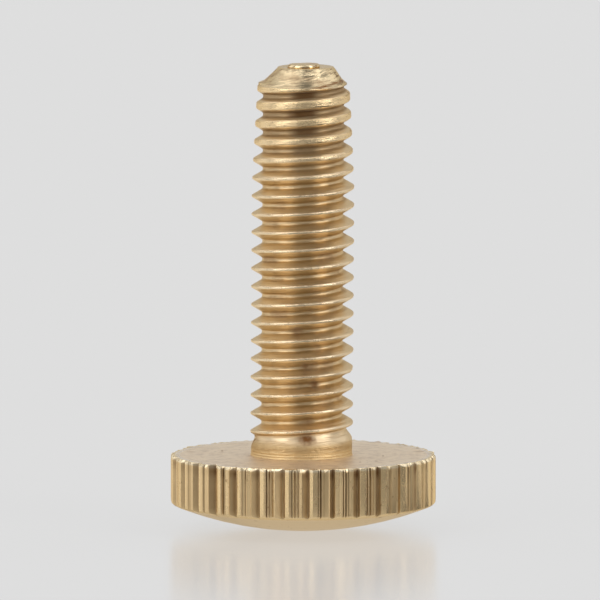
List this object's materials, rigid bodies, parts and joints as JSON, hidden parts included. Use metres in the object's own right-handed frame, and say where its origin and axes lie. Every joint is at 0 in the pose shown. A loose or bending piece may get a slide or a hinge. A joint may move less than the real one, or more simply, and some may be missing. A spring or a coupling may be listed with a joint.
{
  "type": "thumb screw",
  "caption": "Brass thumb screw with a knurled disc head, a shallow domed end and a metric thread, turned by hand to clamp or adjust.",
  "frame": {"origin": "lowest point of the domed head, on the screw's axis", "axes": "+Z along the screw's axis, from the head to the tip; the first full groove of the thread starts at -X"},
  "size_m": [0.0102, 0.0102, 0.018],
  "materials": {
    "brass": "raw turned brass, rolled thread, straight knurl"
  },
  "bodies": {
    "root": {"thumb_screw": "brass"}
  },
  "joints": []
}
